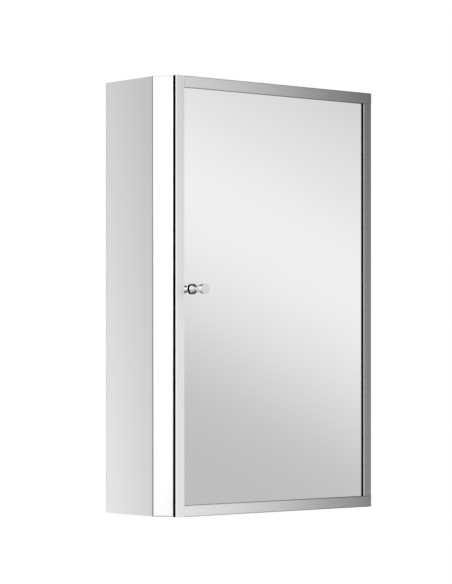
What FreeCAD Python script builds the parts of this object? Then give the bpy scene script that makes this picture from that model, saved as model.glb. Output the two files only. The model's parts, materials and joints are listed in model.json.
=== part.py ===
"""Single-door mirrored wall cabinet of folded sheet steel, in millimetres.

The origin is on the wall plane, in the middle of the four wall screw holes.
+X is to the right of a person facing the door, -Y points into the room and +Z is up.
"""

import FreeCAD, Part
import math
import os

V = FreeCAD.Vector

# Cabinet body
BODY_WIDTH = 300.0
BODY_HEIGHT = 460.0
SIDE_DEPTH = 82.0
CHAMFER = 15.5
SHEET = 1.0
BEND_RADIUS = 0.8
BACK_FLANGE = 12.0
FRONT_FLANGE = 14.0
PAN_LIP = 14.0
PAN_CORNER_RADIUS = 2.5
WALL_HOLE_RADIUS = 3.25
WALL_HOLE_FROM_SIDE = 30.0
WALL_HOLE_FROM_END = 40.0

# Shelves with their slotted rails and pins
RAIL_WIDTH = 12.0
RAIL_DEPTH = 4.0
RAIL_SHEET = 0.8
RAIL_END_CLEARANCE = 16.0
RAIL_FRONT_SETBACK = 14.0
RAIL_BACK_FROM_WALL = 18.0
RAIL_SLOT_WIDTH = 3.0
RAIL_SLOT_HEIGHT = 6.0
RAIL_SLOT_PITCH = 40.0
RAIL_SLOT_COUNT = 9
LOWER_SHELF_SLOT_NUMBER = 3
UPPER_SHELF_SLOT_NUMBER = 7
SHELF_THICKNESS = 5.0
SHELF_FRONT_SETBACK = 3.0
SHELF_BACK_FROM_WALL = 5.0
SHELF_CORNER_RADIUS = 6.0
SHELF_SIDE_CLEARANCE = 1.0
PIN_SHOULDER_WIDTH = 7.0
PIN_SHOULDER_HEIGHT = 8.0
PIN_SHOULDER_THICKNESS = 1.2
PIN_REST_WIDTH = 5.0
PIN_REST_HEIGHT = 5.2
PIN_REST_LENGTH = 8.0
PIN_TAIL_LENGTH = 2.4
PIN_CLEARANCE = 0.1

# Door leaf, from its front plane back
DOOR_OVERHANG = 4.0
DOOR_END_OVERHANG = 0.2
DOOR_GAP = 1.6
FRAME_STILE_WIDTH = 11.0
FRAME_RAIL_WIDTH = 12.0
FRAME_PLATE = 1.2
FRAME_SETBACK = 0.15
FRAME_EDGE_RADIUS = 0.5
CARRIER_FLANGE = 3.5
CARRIER_LIP = 1.5
CARRIER_OPENING_SETBACK = 0.3
CARRIER_RIM_STEP = 3.7
CARRIER_CORNER_RADIUS = 1.5
MIRROR_THICKNESS = 3.0
MIRROR_OVERLAP = 2.5
MIRROR_CLEARANCE = 0.3
BACKING_THICKNESS = 2.3

# Knob and its screw through the glass
KNOB_FROM_DOOR_EDGE = 24.0
KNOB_HEIGHT = 7.7
KNOB_LENGTH = 20.4
KNOB_RADIUS = 5.5
KNOB_BASE_LENGTH = 1.0
KNOB_WAIST_RADIUS = 2.9
KNOB_WAIST_FROM_BASE = 5.1
KNOB_HEAD_LENGTH = 4.0
KNOB_THREAD_DEPTH = 8.0
KNOB_WASHER_THICKNESS = 1.7
KNOB_WASHER_RADIUS = 5.6
KNOB_SCREW_RADIUS = 2.0
KNOB_SCREW_HEAD_RADIUS = 3.6
KNOB_SCREW_HEAD_HEIGHT = 2.2
KNOB_SCREW_END_CLEARANCE = 1.0
KNOB_HOLE_CLEARANCE = 0.6
THREAD_CLEARANCE = 0.05

# Butt hinges
HINGE_LENGTH = 50.0
HINGE_CENTRE_FROM_DOOR_END = 65.2
HINGE_LEAF = 0.6
HINGE_KNUCKLES = 3
HINGE_KNUCKLE_GAP = 0.3
HINGE_BARREL_RADIUS = 1.75
HINGE_PIN_RADIUS = 1.0
HINGE_PIN_CLEARANCE = 0.03
HINGE_AXIS_FROM_DOOR_EDGE = 1.7
HINGE_BODY_LEAF_WIDTH = 12.3
HINGE_DOOR_LEAF_WIDTH = 6.3
HINGE_LEAF_RELIEF = 0.35
HINGE_HOLES = 2
HINGE_HOLE_PITCH = 30.0
FASTENER_RADIUS = 1.2
FASTENER_CLEARANCE = 0.05
DOOR_SCREW_LENGTH = 3.0

# Magnetic catch, strike plate and bumpers
CATCH_CENTRE = 45.0
CATCH_HEIGHT = 36.0
CATCH_WIDTH = 13.0
CATCH_DEPTH = 14.0
CATCH_FROM_FLANGE = 0.3
CATCH_EAR_THICKNESS = 2.5
CATCH_EAR_WIDTH = 12.0
CATCH_EDGE_BEVEL = 1.0
CATCH_SCREW_PITCH = 24.0
CATCH_SCREW_HEAD_RADIUS = 2.4
CATCH_SCREW_HEAD_HEIGHT = 0.9
CATCH_SCREW_RADIUS = 1.1
CATCH_SCREW_LENGTH = 3.0
MAGNET_HEIGHT = 26.0
MAGNET_WIDTH = 5.0
MAGNET_DEPTH = 9.0
POLE_THICKNESS = 1.2
POLE_PROUD = 0.6
MAGNET_CLEARANCE = 0.1
STRIKE_HEIGHT = 40.0
STRIKE_WIDTH = 12.0
STRIKE_THICKNESS = 0.8
STRIKE_CORNER_RADIUS = 2.0
BUMPER_RADIUS = 4.0
BUMPER_FROM_FLANGE_EDGE = 6.0
BUMPER_FROM_DOOR_END = 40.0
CLOSED_CLEARANCE = 0.3

# Planes and edges that the pieces share
HALF_WIDTH = BODY_WIDTH / 2
HALF_HEIGHT = BODY_HEIGHT / 2
BODY_FRONT = -(SIDE_DEPTH + CHAMFER)
FLANGE_OUTER = HALF_WIDTH - CHAMFER
FLANGE_INNER = FLANGE_OUTER - FRONT_FLANGE
DOOR_WIDTH = 2 * (FLANGE_OUTER + DOOR_OVERHANG)
DOOR_HEIGHT = BODY_HEIGHT + 2 * DOOR_END_OVERHANG
MIRROR_DEPTH = FRAME_PLATE + CARRIER_LIP
DOOR_THICKNESS = MIRROR_DEPTH + MIRROR_THICKNESS + BACKING_THICKNESS
DOOR_BACK = BODY_FRONT - DOOR_GAP
DOOR_FRONT = DOOR_BACK - DOOR_THICKNESS
MIRROR_FRONT = DOOR_FRONT + MIRROR_DEPTH
HALF_DOOR = DOOR_WIDTH / 2
HALF_DOOR_HEIGHT = DOOR_HEIGHT / 2
HALF_FRAME = HALF_DOOR - FRAME_SETBACK
HALF_FRAME_HEIGHT = HALF_DOOR_HEIGHT - FRAME_SETBACK
OPEN_HALF_WIDTH = HALF_FRAME - FRAME_STILE_WIDTH
OPEN_HALF_HEIGHT = HALF_FRAME_HEIGHT - FRAME_RAIL_WIDTH
GLASS_HALF_WIDTH = OPEN_HALF_WIDTH + MIRROR_OVERLAP
GLASS_HALF_HEIGHT = OPEN_HALF_HEIGHT + MIRROR_OVERLAP
RIM_OUTER_X = HALF_DOOR - CARRIER_RIM_STEP
RIM_OUTER_Z = HALF_DOOR_HEIGHT - CARRIER_RIM_STEP
RIM_INNER_X = GLASS_HALF_WIDTH + MIRROR_CLEARANCE
RIM_INNER_Z = GLASS_HALF_HEIGHT + MIRROR_CLEARANCE
RIM_MIDDLE_X = (RIM_OUTER_X + RIM_INNER_X) / 2
KNOB_X = -HALF_DOOR + KNOB_FROM_DOOR_EDGE
HINGE_X = HALF_DOOR - HINGE_AXIS_FROM_DOOR_EDGE
HINGE_Y = (BODY_FRONT + DOOR_BACK) / 2
HINGE_LEAF_END = HINGE_X - HINGE_BARREL_RADIUS - HINGE_LEAF_RELIEF
RIVET_X = (HINGE_X - HINGE_BODY_LEAF_WIDTH + HINGE_LEAF_END) / 2
CATCH_X = -FLANGE_INNER + CATCH_FROM_FLANGE + CATCH_WIDTH / 2
MAGNET_FRONT = DOOR_BACK + STRIKE_THICKNESS + CLOSED_CLEARANCE
EAR_MIDDLE_X = -FLANGE_INNER - CATCH_EAR_WIDTH / 2
CATCH_BOTTOM = CATCH_CENTRE - CATCH_HEIGHT / 2
MAGNET_BOTTOM = CATCH_CENTRE - MAGNET_HEIGHT / 2


def box(x0, x1, y0, y1, z0, z1):
    return Part.makeBox(x1 - x0, y1 - y0, z1 - z0, V(x0, y0, z0))


def rod_y(radius, x, z, y0, y1):
    """A round bar along Y from y0 back to y1."""
    return Part.makeCylinder(radius, y1 - y0, V(x, y0, z), V(0, 1, 0))


def rounded_wire(corners):
    """Close a flat outline; each corner is (x, y, radius) and a radius of 0 stays sharp."""
    points = [V(x, y, 0) for x, y, _ in corners]
    count = len(points)
    starts, ends, middles = [], [], []
    for i, point in enumerate(points):
        radius = corners[i][2]
        before = (points[i - 1] - point).normalize()
        after = (points[(i + 1) % count] - point).normalize()
        half = before.getAngle(after) / 2
        reach = radius / math.tan(half)
        towards = (before + after).normalize() if radius else V(0, 0, 0)
        starts.append(point + before * reach)
        ends.append(point + after * reach)
        middles.append(point + towards * (radius / math.sin(half) - radius))
    edges = []
    for i in range(count):
        if corners[i][2]:
            edges.append(Part.Arc(starts[i], middles[i], ends[i]).toShape())
        edges.append(Part.LineSegment(ends[i], starts[(i + 1) % count]).toShape())
    return Part.Wire(edges)


def prism(corners, z0, z1):
    """Raise a rounded outline in the XY plane from z0 to z1."""
    face = Part.Face(rounded_wire(corners))
    face.translate(V(0, 0, z0))
    return face.extrude(V(0, 0, z1 - z0))


def upright_plate(half_x, half_z, radius, y0, y1):
    """A plate in the XZ plane, centred on the door, with rounded corners."""
    corners = [(-half_x, -half_z, radius), (half_x, -half_z, radius)]
    corners += [(half_x, half_z, radius), (-half_x, half_z, radius)]
    plate = prism(corners, 0, y1 - y0)
    plate.rotate(V(0, 0, 0), V(1, 0, 0), 90)
    plate.translate(V(0, y1, 0))
    return plate


def folded_strip(path, radius, thickness):
    """Outline of a sheet folded along path, the outer face, thickened to its right."""
    points = [V(x, y, 0) for x, y in path]
    rights = []
    for a, b in zip(points, points[1:]):
        step = (b - a).normalize()
        rights.append(V(step.y, -step.x, 0))
    inner = [points[0] + rights[0] * thickness]
    for point, r0, r1 in zip(points[1:-1], rights, rights[1:]):
        mitre = (r0 + r1).normalize()
        inner.append(point + mitre * (thickness / mitre.dot(r0)))
    inner.append(points[-1] + rights[-1] * thickness)
    last = len(points) - 1
    outline = []
    for i, p in enumerate(points):
        outline.append((p.x, p.y, radius + thickness if 0 < i < last else 0))
    for i, p in reversed(list(enumerate(inner))):
        outline.append((p.x, p.y, radius if 0 < i < last else 0))
    return outline


def mirrored(shape):
    return shape.mirror(V(0, 0, 0), V(1, 0, 0))


def heights(count, pitch, centre=0.0):
    """Evenly spaced heights about a centre."""
    return [centre + (i - (count - 1) / 2) * pitch for i in range(count)]


HINGE_CENTRE = HALF_DOOR_HEIGHT - HINGE_CENTRE_FROM_DOOR_END
HINGE_CENTRES = {"lower_hinge": -HINGE_CENTRE, "upper_hinge": HINGE_CENTRE}
HINGE_FASTENER_HEIGHTS = [
    z for centre in HINGE_CENTRES.values() for z in heights(HINGE_HOLES, HINGE_HOLE_PITCH, centre)
]


# Body: sides, top and bottom pans, back

def side_panel():
    """The right side: back flange, flat side, slanted front edge and front flange."""
    path = [(HALF_WIDTH - BACK_FLANGE, -SHEET), (HALF_WIDTH, -SHEET), (HALF_WIDTH, -SIDE_DEPTH)]
    path += [(FLANGE_OUTER, BODY_FRONT), (FLANGE_INNER, BODY_FRONT)]
    return prism(folded_strip(path, BEND_RADIUS, SHEET), -HALF_HEIGHT, HALF_HEIGHT)


def right_side():
    side = side_panel()
    for z in HINGE_FASTENER_HEIGHTS:
        hole = rod_y(FASTENER_RADIUS + FASTENER_CLEARANCE, RIVET_X, z, BODY_FRONT, BODY_FRONT + SHEET)
        side = side.cut(hole)
    return side


def left_side():
    side = mirrored(side_panel())
    for z in heights(2, CATCH_SCREW_PITCH, CATCH_CENTRE):
        hole = rod_y(CATCH_SCREW_RADIUS + FASTENER_CLEARANCE, EAR_MIDDLE_X, z, BODY_FRONT, BODY_FRONT + SHEET)
        side = side.cut(hole)
    return side


def plan_outline(inset, back, radius):
    """The body's plan, drawn in by inset on every side but the back."""
    slip = inset * (math.sqrt(2) - 1)
    half = [(HALF_WIDTH - inset, back), (HALF_WIDTH - inset, slip - SIDE_DEPTH)]
    half.append((FLANGE_OUTER - slip, BODY_FRONT + inset))
    left = [(-x, y) for x, y in reversed(half)]
    return [(x, y, radius) for x, y in half + left]


def top_pan():
    """A shallow pan with its lips turned down, which closes the body's top."""
    outer = plan_outline(SHEET, -2 * SHEET, PAN_CORNER_RADIUS)
    inner = plan_outline(2 * SHEET, -3 * SHEET, PAN_CORNER_RADIUS - SHEET)
    pan = prism(outer, HALF_HEIGHT - PAN_LIP, HALF_HEIGHT)
    return pan.cut(prism(inner, HALF_HEIGHT - PAN_LIP, HALF_HEIGHT - SHEET))


def bottom_pan():
    return top_pan().mirror(V(0, 0, 0), V(0, 0, 1))


def back_panel():
    panel = box(-HALF_WIDTH, HALF_WIDTH, -SHEET, 0, -HALF_HEIGHT, HALF_HEIGHT)
    hole_x = HALF_WIDTH - WALL_HOLE_FROM_SIDE
    hole_z = HALF_HEIGHT - WALL_HOLE_FROM_END
    for x in (-hole_x, hole_x):
        for z in (-hole_z, hole_z):
            panel = panel.cut(rod_y(WALL_HOLE_RADIUS, x, z, -SHEET, 0))
    return panel


# Shelf rails, pins and glass shelves

RAIL_FACE = HALF_WIDTH - SHEET - RAIL_DEPTH
RAIL_HALF_LENGTH = HALF_HEIGHT - PAN_LIP - RAIL_END_CLEARANCE
RAIL_PLACES = {"front": RAIL_FRONT_SETBACK - SIDE_DEPTH, "back": -RAIL_BACK_FROM_WALL}
SLOT_HEIGHTS = heights(RAIL_SLOT_COUNT, RAIL_SLOT_PITCH)
SHELF_SLOTS = {
    "lower_shelf": SLOT_HEIGHTS[LOWER_SHELF_SLOT_NUMBER - 1],
    "upper_shelf": SLOT_HEIGHTS[UPPER_SHELF_SLOT_NUMBER - 1],
}
SHOULDER_END = RAIL_FACE - PIN_SHOULDER_THICKNESS


def bar_x(x0, x1, y, z, width, height):
    """A flat bar along X, centred on y and z."""
    return box(x0, x1, y - width / 2, y + width / 2, z - height / 2, z + height / 2)


def shelf_rail(y):
    """A channel on the right side's inner face, with a row of slots in its web."""
    root = RAIL_FACE + RAIL_DEPTH
    path = [(root, y - RAIL_WIDTH / 2), (RAIL_FACE, y - RAIL_WIDTH / 2)]
    path += [(RAIL_FACE, y + RAIL_WIDTH / 2), (root, y + RAIL_WIDTH / 2)]
    rail = prism(folded_strip(path, BEND_RADIUS, RAIL_SHEET), -RAIL_HALF_LENGTH, RAIL_HALF_LENGTH)
    for z in SLOT_HEIGHTS:
        slot = bar_x(RAIL_FACE, RAIL_FACE + RAIL_SHEET, y, z, RAIL_SLOT_WIDTH, RAIL_SLOT_HEIGHT)
        rail = rail.cut(slot)
    return rail


def shelf_pin(y, z):
    """A flat pin pushed into a rail slot, with a shoulder against the rail's face."""
    tail_width = RAIL_SLOT_WIDTH - 2 * PIN_CLEARANCE
    tail_height = RAIL_SLOT_HEIGHT - 2 * PIN_CLEARANCE
    tail = bar_x(RAIL_FACE, RAIL_FACE + PIN_TAIL_LENGTH, y, z, tail_width, tail_height)
    shoulder = bar_x(SHOULDER_END, RAIL_FACE, y, z, PIN_SHOULDER_WIDTH, PIN_SHOULDER_HEIGHT)
    rest = bar_x(SHOULDER_END - PIN_REST_LENGTH, SHOULDER_END, y, z, PIN_REST_WIDTH, PIN_REST_HEIGHT)
    return tail.fuse([shoulder, rest]).removeSplitter()


def shelf_pins(z):
    pins = []
    for y in RAIL_PLACES.values():
        pin = shelf_pin(y, z)
        pins += [pin, mirrored(pin)]
    return Part.makeCompound(pins)


def glass_shelf(z):
    half = SHOULDER_END - SHELF_SIDE_CLEARANCE
    bottom = z + PIN_REST_HEIGHT / 2
    front = SHELF_FRONT_SETBACK - SIDE_DEPTH
    corners = [(-half, front), (half, front)]
    corners += [(half, -SHELF_BACK_FROM_WALL), (-half, -SHELF_BACK_FROM_WALL)]
    outline = [(x, y, SHELF_CORNER_RADIUS) for x, y in corners]
    return prism(outline, bottom, bottom + SHELF_THICKNESS)


# Door leaf: steel frame, black carrier, mirror and backing

def frame_bar(width, length):
    """A flat bar along Z with its two front edges rounded, its front at y = 0."""
    half = width / 2
    corners = [(-half, FRAME_PLATE, 0), (-half, 0, FRAME_EDGE_RADIUS)]
    corners += [(half, 0, FRAME_EDGE_RADIUS), (half, FRAME_PLATE, 0)]
    return prism(corners, -length / 2, length / 2)


def left_stile():
    """The left bar runs the full height of the frame."""
    bar = frame_bar(FRAME_STILE_WIDTH, 2 * HALF_FRAME_HEIGHT)
    bar.translate(V(FRAME_STILE_WIDTH / 2 - HALF_FRAME, DOOR_FRONT, 0))
    return bar


def right_stile():
    """The right bar stands between the two rails."""
    bar = frame_bar(FRAME_STILE_WIDTH, 2 * OPEN_HALF_HEIGHT)
    bar.translate(V(HALF_FRAME - FRAME_STILE_WIDTH / 2, DOOR_FRONT, 0))
    return bar


def frame_rail(end):
    """A rail from the left stile to the frame's right edge."""
    bar = frame_bar(FRAME_RAIL_WIDTH, 2 * HALF_FRAME - FRAME_STILE_WIDTH)
    bar.rotate(V(0, 0, 0), V(0, 1, 0), 90)
    bar.translate(V(FRAME_STILE_WIDTH / 2, DOOR_FRONT, end * (HALF_FRAME_HEIGHT - FRAME_RAIL_WIDTH / 2)))
    return bar


def door_carrier():
    """The moulded black ring under the frame: a flange, a lip over the glass and a rim around it."""
    flange_front = DOOR_FRONT + FRAME_PLATE
    flange_back = flange_front + CARRIER_FLANGE
    open_x = OPEN_HALF_WIDTH + CARRIER_OPENING_SETBACK
    open_z = OPEN_HALF_HEIGHT + CARRIER_OPENING_SETBACK
    flange = upright_plate(HALF_DOOR, HALF_DOOR_HEIGHT, CARRIER_CORNER_RADIUS, flange_front, flange_back)
    rim = upright_plate(RIM_OUTER_X, RIM_OUTER_Z, CARRIER_CORNER_RADIUS, flange_back, DOOR_BACK)
    carrier = flange.fuse(rim).removeSplitter()
    carrier = carrier.cut(box(-open_x, open_x, flange_front, MIRROR_FRONT, -open_z, open_z))
    carrier = carrier.cut(box(-RIM_INNER_X, RIM_INNER_X, MIRROR_FRONT, DOOR_BACK, -RIM_INNER_Z, RIM_INNER_Z))
    hole_radius = FASTENER_RADIUS + FASTENER_CLEARANCE
    for z in HINGE_FASTENER_HEIGHTS:
        carrier = carrier.cut(rod_y(hole_radius, RIM_MIDDLE_X, z, DOOR_BACK - DOOR_SCREW_LENGTH, DOOR_BACK))
    return carrier


def mirror_glass():
    back = MIRROR_FRONT + MIRROR_THICKNESS
    glass = upright_plate(GLASS_HALF_WIDTH, GLASS_HALF_HEIGHT, CARRIER_CORNER_RADIUS, MIRROR_FRONT, back)
    hole_radius = KNOB_SCREW_RADIUS + KNOB_HOLE_CLEARANCE
    return glass.cut(rod_y(hole_radius, KNOB_X, KNOB_HEIGHT, MIRROR_FRONT, back))


def door_backing():
    front = DOOR_BACK - BACKING_THICKNESS
    sheet = upright_plate(GLASS_HALF_WIDTH, GLASS_HALF_HEIGHT, CARRIER_CORNER_RADIUS, front, DOOR_BACK)
    hole_radius = KNOB_SCREW_RADIUS + THREAD_CLEARANCE
    return sheet.cut(rod_y(hole_radius, KNOB_X, KNOB_HEIGHT, front, DOOR_BACK))


# Knob

KNOB_BACK = MIRROR_FRONT - KNOB_WASHER_THICKNESS


def knob():
    """A round knob turned from two cones that meet at its waist, drilled for its screw."""
    head_start = KNOB_LENGTH - KNOB_HEAD_LENGTH
    base_corner = V(KNOB_RADIUS, KNOB_BASE_LENGTH, 0)
    waist = V(KNOB_WAIST_RADIUS, KNOB_WAIST_FROM_BASE, 0)
    head_corner = V(KNOB_RADIUS, head_start, 0)
    rim = V(KNOB_RADIUS, KNOB_LENGTH, 0)
    profile = Part.Wire([
        Part.makeLine(V(0, 0, 0), V(KNOB_RADIUS, 0, 0)),
        Part.makeLine(V(KNOB_RADIUS, 0, 0), base_corner),
        Part.makeLine(base_corner, waist),
        Part.makeLine(waist, head_corner),
        Part.makeLine(head_corner, rim),
        Part.makeLine(rim, V(0, KNOB_LENGTH, 0)),
        Part.makeLine(V(0, KNOB_LENGTH, 0), V(0, 0, 0)),
    ])
    turned = Part.Face(profile).revolve(V(0, 0, 0), V(0, 1, 0), 360)
    turned = turned.cut(rod_y(KNOB_SCREW_RADIUS + THREAD_CLEARANCE, 0, 0, 0, KNOB_THREAD_DEPTH))
    turned.rotate(V(0, 0, 0), V(0, 0, 1), 180)
    turned.translate(V(KNOB_X, KNOB_BACK, KNOB_HEIGHT))
    return turned


def knob_washer():
    washer = rod_y(KNOB_WASHER_RADIUS, KNOB_X, KNOB_HEIGHT, KNOB_BACK, MIRROR_FRONT)
    hole_radius = KNOB_SCREW_RADIUS + KNOB_HOLE_CLEARANCE
    return washer.cut(rod_y(hole_radius, KNOB_X, KNOB_HEIGHT, KNOB_BACK, MIRROR_FRONT))


def knob_screw():
    head_back = DOOR_BACK + KNOB_SCREW_HEAD_HEIGHT
    end = KNOB_BACK - KNOB_THREAD_DEPTH + KNOB_SCREW_END_CLEARANCE
    shank = rod_y(KNOB_SCREW_RADIUS, KNOB_X, KNOB_HEIGHT, end, DOOR_BACK)
    head = rod_y(KNOB_SCREW_HEAD_RADIUS, KNOB_X, KNOB_HEIGHT, DOOR_BACK, head_back)
    return shank.fuse(head).removeSplitter()


# Butt hinges and their fasteners

def knuckle_spans(centre, first):
    """The height ranges of every second knuckle, starting with knuckle number first."""
    pitch = HINGE_LENGTH / HINGE_KNUCKLES
    bottom = centre - HINGE_LENGTH / 2
    spans = []
    for i in range(first, HINGE_KNUCKLES, 2):
        z0 = bottom + i * pitch + HINGE_KNUCKLE_GAP / 2
        spans.append((z0, z0 + pitch - HINGE_KNUCKLE_GAP))
    return spans


def hinge_leaf(centre, first, leaf_start, y0, holes_x):
    """A flat leaf with its rolled knuckles and its fastener holes."""
    z0 = centre - HINGE_LENGTH / 2
    leaf = box(leaf_start, HINGE_LEAF_END, y0, y0 + HINGE_LEAF, z0, z0 + HINGE_LENGTH)
    rolls = []
    for low, high in knuckle_spans(centre, first):
        rolls.append(box(HINGE_LEAF_END, HINGE_X, y0, y0 + HINGE_LEAF, low, high))
        rolls.append(Part.makeCylinder(HINGE_BARREL_RADIUS, high - low, V(HINGE_X, HINGE_Y, low)))
    leaf = leaf.fuse(rolls)
    bore = HINGE_PIN_RADIUS + HINGE_PIN_CLEARANCE
    leaf = leaf.cut(Part.makeCylinder(bore, HINGE_LENGTH, V(HINGE_X, HINGE_Y, z0)))
    hole_radius = FASTENER_RADIUS + FASTENER_CLEARANCE
    for z in heights(HINGE_HOLES, HINGE_HOLE_PITCH, centre):
        leaf = leaf.cut(rod_y(hole_radius, holes_x, z, y0, y0 + HINGE_LEAF))
    return leaf.removeSplitter()


def hinge_body_leaf(centre):
    start = HINGE_X - HINGE_BODY_LEAF_WIDTH
    y0 = BODY_FRONT - HINGE_LEAF
    return hinge_leaf(centre, 0, start, y0, RIVET_X)


def hinge_door_leaf(centre):
    start = HINGE_X - HINGE_DOOR_LEAF_WIDTH
    return hinge_leaf(centre, 1, start, DOOR_BACK, RIM_MIDDLE_X)


def hinge_pin(centre):
    return Part.makeCylinder(HINGE_PIN_RADIUS, HINGE_LENGTH, V(HINGE_X, HINGE_Y, centre - HINGE_LENGTH / 2))


def hinge_fasteners(x, y0, y1):
    return Part.makeCompound([rod_y(FASTENER_RADIUS, x, z, y0, y1) for z in HINGE_FASTENER_HEIGHTS])


def hinge_screws():
    """Flush screws through the door leaves into the carrier's rim."""
    return hinge_fasteners(RIM_MIDDLE_X, DOOR_BACK - DOOR_SCREW_LENGTH, DOOR_BACK + HINGE_LEAF)


def hinge_rivets():
    """Flush rivets through the body leaves and the right front flange."""
    return hinge_fasteners(RIVET_X, BODY_FRONT - HINGE_LEAF, BODY_FRONT + SHEET)


# Magnetic catch, strike plate and bumpers

def catch_magnet_block(grow):
    """The magnet with its two pole plates, as one block grown on its sides."""
    half = MAGNET_WIDTH / 2 + POLE_THICKNESS + grow
    low = MAGNET_BOTTOM - grow
    high = MAGNET_BOTTOM + MAGNET_HEIGHT + grow
    back = MAGNET_FRONT + MAGNET_DEPTH
    return box(CATCH_X - half, CATCH_X + half, MAGNET_FRONT, back, low, high)


def catch_housing():
    """A moulded housing beside the left flange, with an ear behind it and a magnet pocket."""
    front = BODY_FRONT + SHEET
    x0 = CATCH_X - CATCH_WIDTH / 2
    top = CATCH_BOTTOM + CATCH_HEIGHT
    body = box(x0, x0 + CATCH_WIDTH, front, front + CATCH_DEPTH, CATCH_BOTTOM, top)
    back_edges = [e for e in body.Edges if e.BoundBox.YMin > front + CATCH_DEPTH / 2]
    body = body.makeChamfer(CATCH_EDGE_BEVEL, back_edges)
    ear_end = -FLANGE_INNER - CATCH_EAR_WIDTH
    ear = box(ear_end, x0, front, front + CATCH_EAR_THICKNESS, CATCH_BOTTOM, top)
    housing = body.fuse(ear).removeSplitter()
    housing = housing.cut(catch_magnet_block(MAGNET_CLEARANCE))
    hole_radius = CATCH_SCREW_RADIUS + FASTENER_CLEARANCE
    for z in heights(2, CATCH_SCREW_PITCH, CATCH_CENTRE):
        housing = housing.cut(rod_y(hole_radius, EAR_MIDDLE_X, z, front, front + CATCH_EAR_THICKNESS))
    return housing


def catch_magnet():
    x0 = CATCH_X - MAGNET_WIDTH / 2
    front = MAGNET_FRONT + POLE_PROUD
    back = MAGNET_FRONT + MAGNET_DEPTH
    return box(x0, x0 + MAGNET_WIDTH, front, back, MAGNET_BOTTOM, MAGNET_BOTTOM + MAGNET_HEIGHT)


def catch_poles():
    """Two steel plates that stand a little proud of the magnet between them."""
    back = MAGNET_FRONT + MAGNET_DEPTH
    x0 = CATCH_X + MAGNET_WIDTH / 2
    right = box(x0, x0 + POLE_THICKNESS, MAGNET_FRONT, back, MAGNET_BOTTOM, MAGNET_BOTTOM + MAGNET_HEIGHT)
    left = right.mirror(V(CATCH_X, 0, 0), V(1, 0, 0))
    return Part.makeCompound([left, right])


def catch_screws():
    screws = []
    for z in heights(2, CATCH_SCREW_PITCH, CATCH_CENTRE):
        head_front = BODY_FRONT - CATCH_SCREW_HEAD_HEIGHT
        head = rod_y(CATCH_SCREW_HEAD_RADIUS, EAR_MIDDLE_X, z, head_front, BODY_FRONT)
        shank = rod_y(CATCH_SCREW_RADIUS, EAR_MIDDLE_X, z, BODY_FRONT, BODY_FRONT + CATCH_SCREW_LENGTH)
        screws.append(head.fuse(shank).removeSplitter())
    return Part.makeCompound(screws)


def strike_plate():
    back = DOOR_BACK + STRIKE_THICKNESS
    plate = upright_plate(STRIKE_WIDTH / 2, STRIKE_HEIGHT / 2, STRIKE_CORNER_RADIUS, DOOR_BACK, back)
    plate.translate(V(CATCH_X, 0, CATCH_CENTRE))
    return plate


def bumpers():
    """Stick-on rubber buttons on the left front flange."""
    buttons = []
    x = -FLANGE_INNER - BUMPER_FROM_FLANGE_EDGE
    front = DOOR_BACK + CLOSED_CLEARANCE
    for z in (BUMPER_FROM_DOOR_END - HALF_DOOR_HEIGHT, HALF_DOOR_HEIGHT - BUMPER_FROM_DOOR_END):
        buttons.append(rod_y(BUMPER_RADIUS, x, z, front, BODY_FRONT))
    return Part.makeCompound(buttons)


def all_parts():
    parts = {
        "left_side": left_side(),
        "right_side": right_side(),
        "top_pan": top_pan(),
        "bottom_pan": bottom_pan(),
        "back_panel": back_panel(),
        "left_stile": left_stile(),
        "right_stile": right_stile(),
        "top_rail": frame_rail(1),
        "bottom_rail": frame_rail(-1),
        "door_carrier": door_carrier(),
        "mirror_glass": mirror_glass(),
        "door_backing": door_backing(),
        "knob": knob(),
        "knob_washer": knob_washer(),
        "knob_screw": knob_screw(),
        "hinge_screws": hinge_screws(),
        "hinge_rivets": hinge_rivets(),
        "catch_housing": catch_housing(),
        "catch_magnet": catch_magnet(),
        "catch_poles": catch_poles(),
        "catch_screws": catch_screws(),
        "strike_plate": strike_plate(),
        "bumpers": bumpers(),
    }
    for place, y in RAIL_PLACES.items():
        rail = shelf_rail(y)
        parts["right_" + place + "_shelf_rail"] = rail
        parts["left_" + place + "_shelf_rail"] = mirrored(rail)
    for shelf, z in SHELF_SLOTS.items():
        parts[shelf] = glass_shelf(z)
        parts[shelf + "_pins"] = shelf_pins(z)
    for hinge, centre in HINGE_CENTRES.items():
        parts[hinge + "_body_leaf"] = hinge_body_leaf(centre)
        parts[hinge + "_door_leaf"] = hinge_door_leaf(centre)
        parts[hinge + "_pin"] = hinge_pin(centre)
    return parts


os.makedirs("parts", exist_ok=True)
for name, shape in all_parts().items():
    shape.exportStep("parts/" + name + ".step")
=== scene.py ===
import json
import math

import bpy
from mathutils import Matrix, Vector


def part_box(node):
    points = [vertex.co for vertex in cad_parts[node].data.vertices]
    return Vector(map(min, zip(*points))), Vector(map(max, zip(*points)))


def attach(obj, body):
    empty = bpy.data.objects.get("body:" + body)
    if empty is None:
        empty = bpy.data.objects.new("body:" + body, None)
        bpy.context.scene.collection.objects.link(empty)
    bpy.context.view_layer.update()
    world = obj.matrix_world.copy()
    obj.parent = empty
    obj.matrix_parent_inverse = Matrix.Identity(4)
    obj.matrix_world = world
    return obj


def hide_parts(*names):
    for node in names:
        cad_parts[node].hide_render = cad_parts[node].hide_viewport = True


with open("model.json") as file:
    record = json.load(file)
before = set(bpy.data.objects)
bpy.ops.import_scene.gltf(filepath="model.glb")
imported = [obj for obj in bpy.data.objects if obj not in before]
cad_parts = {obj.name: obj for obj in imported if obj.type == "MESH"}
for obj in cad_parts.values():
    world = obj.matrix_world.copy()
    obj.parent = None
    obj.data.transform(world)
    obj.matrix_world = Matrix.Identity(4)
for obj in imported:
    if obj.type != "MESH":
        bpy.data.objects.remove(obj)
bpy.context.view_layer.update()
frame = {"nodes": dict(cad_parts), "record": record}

# Camera: a level view from the front left, as in the photograph
IMAGE_HEIGHT = 584
FOCAL_PIXELS = 2334.0
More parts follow.
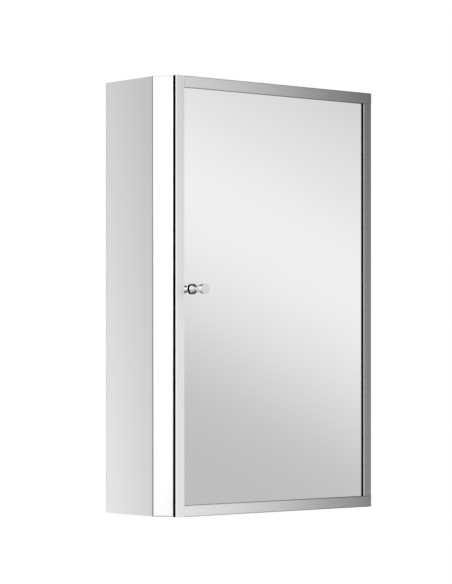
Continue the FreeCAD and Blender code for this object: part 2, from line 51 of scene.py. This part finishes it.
HORIZON_BELOW_CENTRE = 61.8
SENSOR = 36.0
CAMERA_PLACE = Vector((-1.6406, -2.0110, -0.0600))
FORWARD = Vector((0.636, 0.7716, 0.0)).normalized()
RIGHT = Vector((FORWARD.y, -FORWARD.x, 0.0))

# Axes and planes of the CAD model that the looks refer to
X_AXIS, Y_AXIS, Z_AXIS = 0, 1, 2
MIRROR_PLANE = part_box("mirror_glass")[0].y
SIDE_LOW, SIDE_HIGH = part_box("left_side")
CARRIER_LOW, CARRIER_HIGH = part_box("door_carrier")
SLANT_DEPTH = 0.0155
BEND_Y = SIDE_LOW.y + SLANT_DEPTH
OUTER_X = -SIDE_LOW.x
HALF_HEIGHT = SIDE_HIGH.z

# Noise: the values where a ramp over clouds, or over haze, starts and ends
CLOUD_START, CLOUD_END = 0.3, 0.7
HAZE_START, HAZE_END = 0.2, 0.8

# Brushed grain: waves per metre along X, Y and Z, and how far it moves the tone, roughness and bump
UPRIGHT_GRAIN = (1400.0, 1400.0, 14.0)
LEVEL_GRAIN = (14.0, 1400.0, 1400.0)
EVEN_GRAIN = (300.0, 300.0, 300.0)
GRAIN_DETAIL, GRAIN_HARSHNESS = 4.0, 0.6
GRAIN_TONE = (0.97, 1.03)
GRAIN_ROUGHNESS = 0.05
GRAIN_STRENGTH, GRAIN_DEPTH = 0.06, 0.0002
CLOUD_SCALE, CLOUD_DETAIL = 9.0, 2.0
CLOUD_TONE = (-0.01, 0.01)

# Body sheet: painted shade by depth and height, then the painted highlight of its slanted edge, its
# inside tone, the painted highlight of its back bend, the painted dark reflection in its front bend and
# painted shade at the ends of its slanted edge
SIDE_PAINTED_SHADE_BACK_TO_FRONT = (0.852, 0.706)
SIDE_PAINTED_SHADE_LOW_TO_HIGH = (1.03, 0.78)
SLANT_PAINTED_HIGHLIGHT = (0.96, 0.96, 0.96, 1.0)
SLANT_NORMAL = (0.45, 0.6)
INNER_TONE = (0.64, 0.64, 0.64, 1.0)
SHELL_BAND = 0.0030
BACK_BEND_START, BACK_BEND_END = -0.0026, -0.0016
BACK_BEND_PAINTED_LIGHT_LOW_TO_HIGH = (1.0, 0.84)
BEND_LINE_CORE, BEND_LINE = 0.0004, 0.0012
BEND_PAINTED_REFLECTION_TONE = (0.30, 0.30, 0.31, 1.0)
END_BAND_START, END_BAND_FULL = 0.0012, 0.0008
END_PAINTED_SHADE_TONE = (0.40, 0.40, 0.41, 1.0)
BODY_ROUGHNESS, BODY_METALLIC = 0.34, 0.85

# Door frame: painted reflection tones from light at the left to dark at the right, then factors for its
# low and high ends, at the left and the right, that paint it lighter towards the bottom
FRAME_PAINTED_REFLECTION = [(0.0, 0.815), (0.25, 0.70), (0.5, 0.545), (0.75, 0.358), (1.0, 0.205)]
FRAME_PAINTED_LIGHT_LOW = (1.225, 1.43)
FRAME_PAINTED_LIGHT_HIGH = (1.015, 0.915)
FRAME_ROUGHNESS, FRAME_METALLIC = 0.42, 0.70
FRONT_NORMAL = (0.1, 0.3)
LINE_FADE_START, LINE_FADE_END = 0.6, 1.2

# Frame bars: their grain, and their painted edge lines as (axis, side, width, factor on the tone); a
# factor above 1 is a painted highlight, a factor below 1 is painted shade
LOW_SIDE, HIGH_SIDE = -1, 1
FRAME_BARS = {
    "left_stile": (UPRIGHT_GRAIN, [(X_AXIS, LOW_SIDE, 0.0006, 1.12)]),
    "right_stile": (UPRIGHT_GRAIN, [(X_AXIS, LOW_SIDE, 0.0006, 2.4), (X_AXIS, HIGH_SIDE, 0.0009, 0.75)]),
    "top_rail": (LEVEL_GRAIN, [(Z_AXIS, HIGH_SIDE, 0.0010, 0.70), (Z_AXIS, LOW_SIDE, 0.0008, 0.92)]),
    "bottom_rail": (LEVEL_GRAIN, [(Z_AXIS, LOW_SIDE, 0.0010, 0.70), (Z_AXIS, HIGH_SIDE, 0.0008, 0.45)]),
}

# Moulded pieces: their fine pebble and soft cloud
PEBBLE_SCALE = 900.0
PEBBLE_ROUGHNESS = 0.08
PEBBLE_STRENGTH, PEBBLE_DEPTH = 0.1, 0.0002
MOULDED_CLOUD_SCALE = 30.0

# Glass: its index, and the upward part of the normal from its edges to its faces
GLASS_INDEX = 1.5
LEVEL_NORMAL = (0.3, 0.8)

# Small pieces: the shares are of a head's radius or height, and the lengths are in metres
TO_FRONT, TO_BACK = -1, 1
TURNED_SIDES = 40
DOME_RINGS = 6
RIM_SHARE = 0.35
CROSS_SLIMNESS = 4.5
CROSS_PROUD = 0.00004
CROSS_SHARE = 0.62
HEAD_DIP = 0.00006
HINGE_HOLE_PITCH = 0.030
SOFT_ANGLE = math.radians(40)
SOFT_SEGMENTS = 2
SOFT_EDGES = {"knob": 0.0003, "lower_shelf": 0.0005, "upper_shelf": 0.0005, "catch_housing": 0.0003}

# Sockets of Blender's Mix node for colours
MIX_FACTOR, MIX_A, MIX_B, MIX_RESULT = 0, 6, 7, 2


class Graph:
    """A short way to write a node tree."""

    def __init__(self, tree):
        self.tree = tree
        tree.nodes.clear()

    def new(self, kind, inputs=None, **settings):
        """A node with its settings, and its inputs set or linked."""
        node = self.tree.nodes.new("ShaderNode" + kind)
        for name, value in settings.items():
            setattr(node, name, value)
        for name, value in (inputs or {}).items():
            self.put(node.inputs[name], value)
        return node

    def put(self, socket, value):
        """Links a socket to another one, or sets it to a plain value."""
        if isinstance(value, bpy.types.NodeSocket):
            self.tree.links.new(value, socket)
        else:
            socket.default_value = value

    def math(self, operation, a, b=0.0):
        return self.new("Math", {0: a, 1: b}, operation=operation).outputs[0]

    def along(self, vector, axis):
        """How far a vector goes along an axis."""
        return self.new("VectorMath", {0: vector, 1: axis}, operation="DOT_PRODUCT").outputs["Value"]

    def step(self, value, low, high):
        """0 below low, 1 above high and smooth between them."""
        inputs = {"Value": value, "From Min": low, "From Max": high}
        return self.new("MapRange", inputs, interpolation_type="SMOOTHSTEP").outputs[0]

    def scaled(self, value, low, high):
        """A 0 to 1 value stretched from low to high."""
        return self.new("MapRange", {"Value": value, "To Min": low, "To Max": high}).outputs[0]

    def span(self, value, low, high):
        """0 at low, 1 at high and straight between them."""
        return self.new("MapRange", {"Value": value, "From Min": low, "From Max": high}).outputs[0]

    def ramp(self, value, stops, interpolation="LINEAR"):
        """Grey or coloured stops as (place, grey or (r, g, b))."""
        node = self.new("ValToRGB", {"Fac": value})
        node.color_ramp.interpolation = interpolation
        elements = node.color_ramp.elements
        while len(elements) < len(stops):
            elements.new(1.0)
        for element, (place, tone) in zip(elements, stops):
            element.position = place
            rgb = (tone,) * 3 if isinstance(tone, (int, float)) else tone
            element.color = (*rgb, 1.0)
        return node.outputs[0]

    def mix(self, factor, a, b, blend_type="MIX"):
        node = self.new("Mix", data_type="RGBA", blend_type=blend_type)
        self.put(node.inputs[MIX_FACTOR], factor)
        self.put(node.inputs[MIX_A], a)
        self.put(node.inputs[MIX_B], b)
        return node.outputs[MIX_RESULT]

    def coords(self, output="Object"):
        return self.new("TexCoord").outputs[output]

    def parts(self, vector):
        return self.new("SeparateXYZ", {"Vector": vector}).outputs

    def noise(self, vector, scale, detail=3.0, rough=0.5):
        inputs = {"Vector": vector, "Scale": scale, "Detail": detail, "Roughness": rough}
        return self.new("TexNoise", inputs).outputs["Fac"]

    def stretched(self, vector, scale):
        return self.new("Mapping", {"Vector": vector, "Scale": scale}).outputs[0]

    def bump(self, height, strength, distance):
        inputs = {"Height": height, "Strength": strength, "Distance": distance}
        return self.new("Bump", inputs).outputs[0]


def material(name):
    """A material with one plain shader, its node tree and that shader."""
    made = bpy.data.materials.new(name)
    made.use_nodes = True
    graph = Graph(made.node_tree)
    shader = graph.new("BsdfPrincipled")
    out = graph.new("OutputMaterial")
    graph.put(out.inputs["Surface"], shader.outputs[0])
    return made, graph, shader


def brushed(graph, shader, grain_scale, tone, roughness):
    """Fine brushed grain: it moves the colour, the roughness and the bump a little."""
    stretched = graph.stretched(graph.coords(), grain_scale)
    grain = graph.noise(stretched, 1.0, GRAIN_DETAIL, GRAIN_HARSHNESS)
    cloud = graph.noise(graph.coords(), CLOUD_SCALE, CLOUD_DETAIL)
    shade = graph.math("ADD", graph.scaled(grain, *GRAIN_TONE), graph.scaled(cloud, *CLOUD_TONE))
    graph.put(shader.inputs["Base Color"], graph.mix(1.0, tone, shade, "MULTIPLY"))
    smooth, rough = roughness - GRAIN_ROUGHNESS, roughness + GRAIN_ROUGHNESS
    graph.put(shader.inputs["Roughness"], graph.scaled(grain, smooth, rough))
    graph.put(shader.inputs["Normal"], graph.bump(grain, GRAIN_STRENGTH, GRAIN_DEPTH))


def satin_steel():
    """Body sheet: vertical grain, painted shade by depth and height, painted highlights on the slanted
    edge and the back bend, a painted dark reflection in the front bend and painted shade at the slanted
    edge's ends.
    """
    made, graph, shader = material("satin_steel")
    x, y, z = graph.parts(graph.coords())
    forward = graph.math("MULTIPLY", y, -1.0)
    depth = graph.span(forward, 0.0, -BEND_Y)
    height = graph.span(z, -HALF_HEIGHT, HALF_HEIGHT)
    # Painted shade: the outside is lighter towards the back and towards the bottom
    outer_painted_shading = graph.math("MULTIPLY", graph.scaled(depth, *SIDE_PAINTED_SHADE_BACK_TO_FRONT),
                            graph.scaled(height, *SIDE_PAINTED_SHADE_LOW_TO_HIGH))
    # Painted highlight: the back bend is painted lighter than the side next to it, and lighter towards
    # the bottom
    painted_back_bend_light = graph.step(y, BACK_BEND_START, BACK_BEND_END)
    outer_painted_shading = graph.mix(painted_back_bend_light, outer_painted_shading, graph.scaled(height, *BACK_BEND_PAINTED_LIGHT_LOW_TO_HIGH))
    from_middle = graph.math("ABSOLUTE", x)
    outside = graph.step(from_middle, OUTER_X - SHELL_BAND, OUTER_X - SHELL_BAND / 2)
    tone = graph.mix(outside, INNER_TONE, outer_painted_shading)

    normal = graph.parts(graph.coords("Normal"))
    sideways = graph.step(graph.math("ABSOLUTE", normal[X_AXIS]), *SLANT_NORMAL)
    ahead = graph.step(graph.math("MULTIPLY", normal[Y_AXIS], -1.0), *SLANT_NORMAL)
    slanted = graph.math("MULTIPLY", sideways, ahead)
    # Painted highlight: the slanted edge, found by its normal, is painted nearly white
    tone = graph.mix(slanted, tone, SLANT_PAINTED_HIGHLIGHT)

    # Painted dark reflection: a dark line along the front bend, on the outside
    off_bend = graph.math("ABSOLUTE", graph.math("SUBTRACT", y, BEND_Y))
    line = graph.math("SUBTRACT", 1.0, graph.step(off_bend, BEND_LINE_CORE, BEND_LINE))
    tone = graph.mix(graph.math("MULTIPLY", line, outside), tone, BEND_PAINTED_REFLECTION_TONE)
    # Painted shade: dark bands at the top and bottom ends of the slanted edge
    from_level = graph.math("ABSOLUTE", z)
    ends = graph.step(from_level, HALF_HEIGHT - END_BAND_START, HALF_HEIGHT - END_BAND_FULL)
    tone = graph.mix(graph.math("MULTIPLY", ends, slanted), tone, END_PAINTED_SHADE_TONE)
    brushed(graph, shader, UPRIGHT_GRAIN, tone, BODY_ROUGHNESS)
    shader.inputs["Metallic"].default_value = BODY_METALLIC
    return made


def frame_steel(node, grain_scale, painted_edge_lines):
    """A door frame bar, brushed along its length, with a painted reflection that darkens from left to
    right and lightens towards the bottom, painted highlight lines at some edges and painted shade lines
    at others.
    """
    made, graph, shader = material("frame_steel_" + node)
    place = graph.parts(graph.coords())
    # Painted reflection: darker from left to right, lighter towards the bottom
    across = graph.span(place[X_AXIS], CARRIER_LOW.x, CARRIER_HIGH.x)
    height = graph.span(place[Z_AXIS], CARRIER_LOW.z, CARRIER_HIGH.z)
    painted_rise = graph.scaled(height, graph.scaled(across, *FRAME_PAINTED_LIGHT_LOW), graph.scaled(across, *FRAME_PAINTED_LIGHT_HIGH))
    tone = graph.mix(1.0, graph.ramp(across, FRAME_PAINTED_REFLECTION), painted_rise, "MULTIPLY")
    low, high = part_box(node)
    normal = graph.parts(graph.coords("Normal"))
    front = graph.step(graph.math("MULTIPLY", normal[Y_AXIS], -1.0), *FRONT_NORMAL)
    # Painted edge lines on the front face: highlights where the factor is above 1, shade where it is
    # below
    for axis, side, width, factor in painted_edge_lines:
        edge = high[axis] if side == HIGH_SIDE else low[axis]
        inward = graph.math("MULTIPLY", graph.math("SUBTRACT", edge, place[axis]), side)
        past_line = graph.step(inward, LINE_FADE_START * width, LINE_FADE_END * width)
        line = graph.math("MULTIPLY", graph.math("SUBTRACT", 1.0, past_line), front)
        tone = graph.mix(1.0, tone, graph.scaled(line, 1.0, factor), "MULTIPLY")
    brushed(graph, shader, grain_scale, tone, FRAME_ROUGHNESS)
    shader.inputs["Metallic"].default_value = FRAME_METALLIC
    return made


def bright_steel(cloud_scale, dark, light, roughness):
    """Zinc plate with a soft cloud of two tones."""
    made, graph, shader = material("bright_steel")
    cloud = graph.noise(graph.coords(), cloud_scale, detail=4.0)
    tone = graph.ramp(cloud, [(CLOUD_START, dark), (CLOUD_END, light)])
    brushed(graph, shader, EVEN_GRAIN, tone, roughness)
    shader.inputs["Metallic"].default_value = 1.0
    return made


def polished(name, haze_scale, dark, light, roughness):
    """Bright metal, or silvered glass, with a faint haze."""
    made, graph, shader = material(name)
    haze = graph.noise(graph.coords(), haze_scale)
    tone = graph.ramp(haze, [(HAZE_START, dark), (HAZE_END, light)])
    graph.put(shader.inputs["Base Color"], tone)
    graph.put(shader.inputs["Roughness"], graph.scaled(haze, *roughness))
    shader.inputs["Metallic"].default_value = 1.0
    return made


def moulded(name, dark, light, roughness, specular):
    """Moulded plastic or rubber with a fine pebble surface."""
    made, graph, shader = material(name)
    pebble = graph.noise(graph.coords(), PEBBLE_SCALE, detail=2.0)
    cloud = graph.noise(graph.coords(), MOULDED_CLOUD_SCALE, detail=2.0)
    tone = graph.ramp(cloud, [(CLOUD_START, dark), (CLOUD_END, light)])
    graph.put(shader.inputs["Base Color"], tone)
    smooth, rough = roughness - PEBBLE_ROUGHNESS, roughness + PEBBLE_ROUGHNESS
    graph.put(shader.inputs["Roughness"], graph.scaled(pebble, smooth, rough))
    graph.put(shader.inputs["Normal"], graph.bump(pebble, PEBBLE_STRENGTH, PEBBLE_DEPTH))
    shader.inputs["Specular IOR Level"].default_value = specular
    return made


def clear_glass(haze_scale, edge_tint, face_tint, roughness):
    """Clear glass, greener where it is seen through its edges."""
    made, graph, shader = material("clear_glass")
    haze = graph.noise(graph.coords(), haze_scale)
    normal = graph.parts(graph.coords("Normal"))
    face = graph.step(graph.math("ABSOLUTE", normal[Z_AXIS]), *LEVEL_NORMAL)
    graph.put(shader.inputs["Base Color"], graph.mix(face, edge_tint, face_tint))
    graph.put(shader.inputs["Roughness"], graph.scaled(haze, *roughness))
    shader.inputs["Transmission Weight"].default_value = 1.0
    shader.inputs["IOR"].default_value = GLASS_INDEX
    return made


MATERIALS = {
    "satin_steel": satin_steel(),
    "bright_steel": bright_steel(cloud_scale=160.0, dark=(0.66, 0.67, 0.66), light=(0.76, 0.76, 0.74),
                                 roughness=0.24),
    "mirror": polished("mirror", haze_scale=14.0, dark=(0.86, 0.87, 0.865), light=0.88,
                       roughness=(0.0, 0.012)),
    "chrome": polished("chrome", haze_scale=400.0, dark=(0.74, 0.75, 0.76), light=0.79,
                       roughness=(0.03, 0.07)),
    # Black plastic is nearly black, so that the door carrier's lips show as the black lines at the
    # door's edge and between the frame and the mirror: partly the carrier's own black, partly painted
    # shade of the gaps
    "black_plastic": moulded("black_plastic", dark=0.0012, light=0.002, roughness=0.8, specular=0.02),
    "rubber": moulded("rubber", dark=0.003, light=0.006, roughness=0.8, specular=0.05),
    "catch_plastic": moulded("catch_plastic", dark=(0.80, 0.80, 0.78), light=(0.86, 0.86, 0.84),
                             roughness=0.45, specular=0.4),
    "magnet": moulded("magnet", dark=0.03, light=0.06, roughness=0.6, specular=0.3),
    "clear_glass": clear_glass(haze_scale=25.0, edge_tint=(0.45, 0.74, 0.62, 1.0),
                               face_tint=(0.95, 0.985, 0.97, 1.0), roughness=(0.0, 0.02)),
}
FRAME_MATERIALS = {name: frame_steel(name, *bar) for name, bar in FRAME_BARS.items()}
for part in frame["record"]["subparts"]:
    solid = frame["nodes"][part["node"]]
    solid.data.materials.clear()
    solid.data.materials.append(FRAME_MATERIALS.get(part["node"]) or MATERIALS[part["material_slot"]])


# Small pieces that the solids leave plain

def finish_piece(name, points, faces, body, slot):
    """A mesh piece with its material, on its body."""
    mesh = bpy.data.meshes.new(name)
    mesh.from_pydata(points, [], faces)
    mesh.materials.append(MATERIALS[slot])
    made = bpy.data.objects.new(name, mesh)
    bpy.context.scene.collection.objects.link(made)
    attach(made, body)
    return made


def turned(name, profile, centres, facing, body, slot):
    """Round pieces about lines along Y; the profile is (radius, height) from the rim to the crown."""
    points, faces = [], []
    for centre in centres:
        first = len(points)
        for radius, height in profile[:-1]:
            for i in range(TURNED_SIDES):
                angle = 2 * math.pi * i / TURNED_SIDES
                points.append((centre.x + radius * math.cos(angle), centre.y + facing * height,
                               centre.z + radius * math.sin(angle)))
        crown = len(points)
        points.append((centre.x, centre.y + facing * profile[-1][1], centre.z))
        for ring in range(len(profile) - 1):
            for i in range(TURNED_SIDES):
                a = first + ring * TURNED_SIDES + i
                b = first + ring * TURNED_SIDES + (i + 1) % TURNED_SIDES
                last = ring == len(profile) - 2
                face = (a, b, crown) if last else (a, b, b + TURNED_SIDES, a + TURNED_SIDES)
                faces.append(face if facing == TO_FRONT else face[::-1])
    made = finish_piece(name, points, faces, body, slot)
    made.data.shade_smooth()
    return made


def dome(radius, height):
    """Profile of a domed head with a short upright rim."""
    rim = RIM_SHARE * height
    profile = [(radius, 0.0), (radius, rim)]
    for i in range(1, DOME_RINGS):
        angle = math.pi / 2 * i / DOME_RINGS
        profile.append((radius * math.cos(angle), rim + (height - rim) * math.sin(angle)))
    return profile + [(0.0, height)]


def crosses(name, centres, facing, arm, body):
    """Cross recesses on screw heads, as thin dark pieces: painted shade in the recesses."""
    half = arm / CROSS_SLIMNESS
    outline = [(half, half), (arm, half), (arm, -half), (half, -half), (half, -arm), (-half, -arm)]
    outline += [(-x, -z) for x, z in outline]
    points, faces = [], []
    for centre in centres:
        first = len(points)
        for level in (-CROSS_PROUD, CROSS_PROUD):
            points += [(centre.x + x, centre.y + facing * level, centre.z + z) for x, z in outline]
        count = len(outline)
        faces.append(tuple(range(first + count, first + 2 * count)))
        for i in range(count):
            j = (i + 1) % count
            faces.append((first + i, first + j, first + count + j, first + count + i))
    if facing == TO_FRONT:
        faces = [face[::-1] for face in faces]
    # The crosses take the dark magnet material as painted shade in the recesses
    finish_piece(name, points, faces, body, "magnet")


def knob_screw():
    """A domed head with a cross of painted shade, on the back of the door."""
    low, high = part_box("knob_screw")
    middle = (low + high) / 2
    radius = (high.x - low.x) / 2
    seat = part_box("door_backing")[1].y
    places = [Vector((middle.x, seat, middle.z))]
    profile = dome(radius, high.y - seat)
    head = turned("knob_screw_head", profile, places, TO_BACK, "door", "bright_steel")
    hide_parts("knob_screw")
    tops = [Vector((middle.x, high.y - HEAD_DIP, middle.z))]
    crosses("knob_screw_cross_shade", tops, TO_BACK, CROSS_SHARE * radius, "door")


def catch_screws():
    """Two domed heads with crosses of painted shade, on the front of the body."""
    low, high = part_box("catch_screws")
    radius = (high.x - low.x) / 2
    seat = SIDE_LOW.y
    places = [Vector(((low.x + high.x) / 2, seat, z)) for z in (low.z + radius, high.z - radius)]
    profile = dome(radius, seat - low.y)
    heads = turned("catch_screw_heads", profile, places, TO_FRONT, "cabinet", "bright_steel")
    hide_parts("catch_screws")
    tops = [Vector((place.x, low.y + HEAD_DIP, place.z)) for place in places]
    crosses("catch_screw_cross_shades", tops, TO_FRONT, CROSS_SHARE * radius, "cabinet")


def hinge_screws():
    """Crosses of painted shade on the flush heads, two on each hinge."""
    low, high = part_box("hinge_screws")
    radius = (high.x - low.x) / 2
    places = []
    for hinge in ("lower_hinge_door_leaf", "upper_hinge_door_leaf"):
        leaf_low, leaf_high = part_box(hinge)
        middle = (leaf_low.z + leaf_high.z) / 2
        for z in (middle - HINGE_HOLE_PITCH / 2, middle + HINGE_HOLE_PITCH / 2):
            places.append(Vector(((low.x + high.x) / 2, high.y, z)))
    crosses("hinge_screw_cross_shades", places, TO_BACK, CROSS_SHARE * radius, "door")


def bumper_domes():
    """Domed rubber tops in place of the plain ones."""
    low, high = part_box("bumpers")
    radius = (high.x - low.x) / 2
    places = [Vector(((low.x + high.x) / 2, high.y, z)) for z in (low.z + radius, high.z - radius)]
    domes = turned("bumper_domes", dome(radius, high.y - low.y), places, TO_FRONT, "cabinet", "rubber")
    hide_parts("bumpers")


def soften(name, width):
    """Small rounded edges on a plain solid, so that they catch the light."""
    bevel = frame["nodes"][name].modifiers.new("soft_edges", "BEVEL")
    bevel.width = width
    bevel.segments = SOFT_SEGMENTS
    bevel.limit_method = "ANGLE"
    bevel.angle_limit = SOFT_ANGLE


knob_screw()
catch_screws()
hinge_screws()
bumper_domes()
for name, width in SOFT_EDGES.items():
    soften(name, width)


# Stage: floor, cards that only reflections see, lamp, world and camera
WHITE = (1.0, 1.0, 1.0, 1.0)
ACROSS, BACK, UP = Vector((1, 0, 0)), Vector((0, 1, 0)), Vector((0, 0, 1))
STAGE_CLOUD_SCALE = 3.0

# Lamp and the world's light on matt surfaces
KEY_PLACE = Vector((-1.5, -1.7, 0.1))
KEY_AIM = Vector((0.0, -0.05, 0.0))
KEY_SIZE = 2.6
KEY_POWER = 10.5
WORLD_STRENGTH = 0.75

# Floor: it fades to white with distance, and reflections see it grey
FLOOR_LEVEL = -1.4
FLOOR_RADIUS = 9.0
FLOOR_SIDES = 96
FLOOR_TONE = (0.88, 0.92)
FLOOR_FADE_START, FLOOR_FADE_END = 1.5, 5.0
GLOSS_FLOOR = (0.60, 0.60, 0.60, 1.0)
GLOSS_FADE_START, GLOSS_FADE_END = 2.5, 9.0

# Cards: each has a box (left, right, bottom, top) that it fills, and an outer one where it has faded out

# Graded card: it stands where the camera looks by way of the mirror, and its bands run aslant
CARD_DISTANCE = 4.0
SEEN_FROM = Vector((CAMERA_PLACE.x, 2 * MIRROR_PLANE - CAMERA_PLACE.y, CAMERA_PLACE.z))
SEEN_FORWARD = Vector((FORWARD.x, -FORWARD.y, 0.0))
GRADED_RIGHT = Vector((RIGHT.x, -RIGHT.y, 0.0))
GRADED_CENTRE = SEEN_FROM + SEEN_FORWARD * CARD_DISTANCE
GRADED_INNER = (-0.14, 0.30, -0.34, 0.54)
GRADED_OUTER = (-0.49, 0.65, -0.69, 0.89)
GRADED_TILT = 0.54
GRADED_TOP, GRADED_BOTTOM = 0.572, -0.216
GRADED_STOPS = [(0.0, 0.71), (0.10, 0.80), (0.24, 0.907), (0.35, 0.977), (0.445, 0.994), (0.555, 0.94)]
GRADED_STOPS += [(0.66, 0.837), (0.765, 0.718), (0.87, 0.621), (0.97, 0.589)]

# Bright card: the knob's highlight and the white of the slanted edge
BRIGHT_CENTRE = Vector((-1.83, -1.70, 0.0))
BRIGHT_RIGHT = Vector((-0.682, 0.731, 0.0))
BRIGHT_INNER = (-0.85, 0.85, 0.28, 1.20)
BRIGHT_OUTER = (-1.20, 1.20, -0.07, 1.55)
BRIGHT_TONE = (2.3, 2.34)

# Grey cards: the outlines on the knob
GREY_TONE = (0.09, 0.13)
PALE_TONE = (0.28, 0.32)
HIGH_CENTRE = Vector((1.12, -2.78, 0.0))
HIGH_RIGHT = Vector((0.927, 0.375, 0.0))
HIGH_INNER = (-0.60, 0.60, 0.68, 1.20)
HIGH_OUTER = (-0.78, 0.78, 0.50, 1.38)
GREY_LEVEL = 0.75
PALE_LEVEL = 0.76
NEAR_INNER = (-0.42, 0.36, -0.72, -0.09)
NEAR_OUTER = (-0.46, 0.40, -0.76, -0.08)
WIDE_INNER = (-0.36, 0.88, -0.98, -0.09)
WIDE_OUTER = (-0.46, 1.08, -1.18, -0.08)


def flat_mesh(name, corners):
    """One flat face that belongs to the stage."""
    mesh = bpy.data.meshes.new(name)
    mesh.from_pydata([tuple(c) for c in corners], [], [tuple(range(len(corners)))])
    made = bpy.data.objects.new(name, mesh)
    bpy.context.scene.collection.objects.link(made)
    return made


def stage_material(made):
    """An empty node tree on a stage piece, and the socket for its surface."""
    fresh = bpy.data.materials.new(made.name)
    fresh.use_nodes = True
    made.data.materials.append(fresh)
    graph = Graph(fresh.node_tree)
    return graph, graph.new("OutputMaterial").inputs["Surface"]


def soft_card(name, centre, axes, inner, outer, tone):
    """A card that only reflections see; tone(graph, u, v) gives its colour along its two axes."""
    left, right, bottom, top = outer
    corners = []
    for u, v in ((left, bottom), (right, bottom), (right, top), (left, top)):
        corners.append(centre + axes[0] * u + axes[1] * v)
    card = flat_mesh(name, corners)
    card.visible_camera = False
    card.visible_diffuse = False
    card.visible_shadow = False

    graph, surface = stage_material(card)
    place = graph.new("VectorMath", {0: graph.coords(), 1: centre}, operation="SUBTRACT").outputs[0]
    u = graph.along(place, axes[0])
    v = graph.along(place, axes[1])
    inside = 1.0
    for value, start, end in zip((u, u, v, v), outer, inner):
        inside = graph.math("MULTIPLY", inside, graph.step(value, start, end))
    glow = graph.new("Emission", {"Color": tone(graph, u, v)}).outputs[0]
    clear = graph.new("BsdfTransparent").outputs[0]
    graph.put(surface, graph.new("MixShader", {0: inside, 1: clear, 2: glow}).outputs[0])


def graded_tone(graph, u, v):
    """Soft slanted bands, from the top down."""
    slope = graph.math("ADD", graph.math("MULTIPLY", u, GRADED_TILT), v)
    return graph.ramp(graph.span(slope, GRADED_TOP, GRADED_BOTTOM), GRADED_STOPS, "B_SPLINE")


def cloudy_tone(low, high):
    """A nearly even tone, with soft clouds from low to high."""
    def tone(graph, u=None, v=None):
        cloud = graph.noise(graph.coords(), STAGE_CLOUD_SCALE)
        return graph.ramp(cloud, [(CLOUD_START, low), (CLOUD_END, high)])
    return tone


def pale_floor():
    """A pale round floor that keeps shadows and fades into the white background."""
    rim = []
    for i in range(FLOOR_SIDES):
        angle = 2 * math.pi * i / FLOOR_SIDES
        rim.append((FLOOR_RADIUS * math.cos(angle), FLOOR_RADIUS * math.sin(angle), FLOOR_LEVEL))
    floor = flat_mesh("floor", rim)
    graph, surface = stage_material(floor)
    matt = graph.new("BsdfDiffuse", {"Color": cloudy_tone(*FLOOR_TONE)(graph)}).outputs[0]
    white = graph.new("Emission", {"Color": WHITE}).outputs[0]
    from_middle = graph.new("VectorMath", {0: graph.coords()}, operation="LENGTH").outputs["Value"]
    path = graph.new("LightPath").outputs
    far = graph.step(from_middle, FLOOR_FADE_START, FLOOR_FADE_END)
    faded = graph.math("MULTIPLY", far, path["Is Camera Ray"])
    seen = graph.new("MixShader", {0: faded, 1: matt, 2: white}).outputs[0]
    gloss_far = graph.step(from_middle, GLOSS_FADE_START, GLOSS_FADE_END)
    gloss = graph.new("Emission", {"Color": graph.mix(gloss_far, GLOSS_FLOOR, WHITE)}).outputs[0]
    graph.put(surface, graph.new("MixShader", {0: path["Is Glossy Ray"], 1: seen, 2: gloss}).outputs[0])


def white_world():
    """White to the camera, to metal and to glass, and a soft even light for the rest."""
    world = bpy.data.worlds.new("world")
    bpy.context.scene.world = world
    world.use_nodes = True
    graph = Graph(world.node_tree)
    path = graph.new("LightPath").outputs
    seen = graph.math("MAXIMUM", path["Is Camera Ray"], path["Is Glossy Ray"])
    seen = graph.math("MAXIMUM", seen, path["Is Transmission Ray"])
    white = graph.new("Background", {"Color": WHITE, "Strength": 1.0})
    soft = graph.new("Background", {"Color": WHITE, "Strength": WORLD_STRENGTH})
    both = graph.new("MixShader", {0: seen, 1: soft.outputs[0], 2: white.outputs[0]})
    out = graph.new("OutputWorld")
    graph.put(out.inputs["Surface"], both.outputs[0])


def key_lamp():
    """One large soft lamp, which the mirror and the chrome don't show."""
    data = bpy.data.lights.new("key", "AREA")
    data.size = KEY_SIZE
    data.energy = KEY_POWER
    lamp = bpy.data.objects.new("key", data)
    bpy.context.scene.collection.objects.link(lamp)
    lamp.location = KEY_PLACE
    lamp.rotation_euler = (KEY_AIM - KEY_PLACE).to_track_quat("-Z", "Y").to_euler()
    lamp.visible_glossy = False


def camera():
    """A level camera, with its frame shifted so that the horizon is where the photograph has it."""
    data = bpy.data.cameras.new("camera")
    data.sensor_width = SENSOR
    data.lens = FOCAL_PIXELS * SENSOR / IMAGE_HEIGHT
    data.shift_y = HORIZON_BELOW_CENTRE / IMAGE_HEIGHT
    made = bpy.data.objects.new("camera", data)
    bpy.context.scene.collection.objects.link(made)
    made.location = CAMERA_PLACE
    made.rotation_euler = FORWARD.to_track_quat("-Z", "Y").to_euler()
    bpy.context.scene.camera = made


bright_tone = cloudy_tone(*BRIGHT_TONE)
grey_tone = cloudy_tone(*GREY_TONE)
pale_tone = cloudy_tone(*PALE_TONE)
soft_card("card_graded", GRADED_CENTRE, (GRADED_RIGHT, UP), GRADED_INNER, GRADED_OUTER, graded_tone)
soft_card("card_bright", BRIGHT_CENTRE, (BRIGHT_RIGHT, UP), BRIGHT_INNER, BRIGHT_OUTER, bright_tone)
soft_card("card_high", HIGH_CENTRE, (HIGH_RIGHT, UP), HIGH_INNER, HIGH_OUTER, grey_tone)
soft_card("card_above", UP * GREY_LEVEL, (ACROSS, BACK), WIDE_INNER, WIDE_OUTER, grey_tone)
soft_card("card_below", UP * -GREY_LEVEL, (ACROSS, BACK), NEAR_INNER, NEAR_OUTER, grey_tone)
soft_card("card_pale", UP * -PALE_LEVEL, (ACROSS, BACK), WIDE_INNER, WIDE_OUTER, pale_tone)
pale_floor()
white_world()
key_lamp()
camera()
bpy.context.scene.view_settings.view_transform = "Standard"
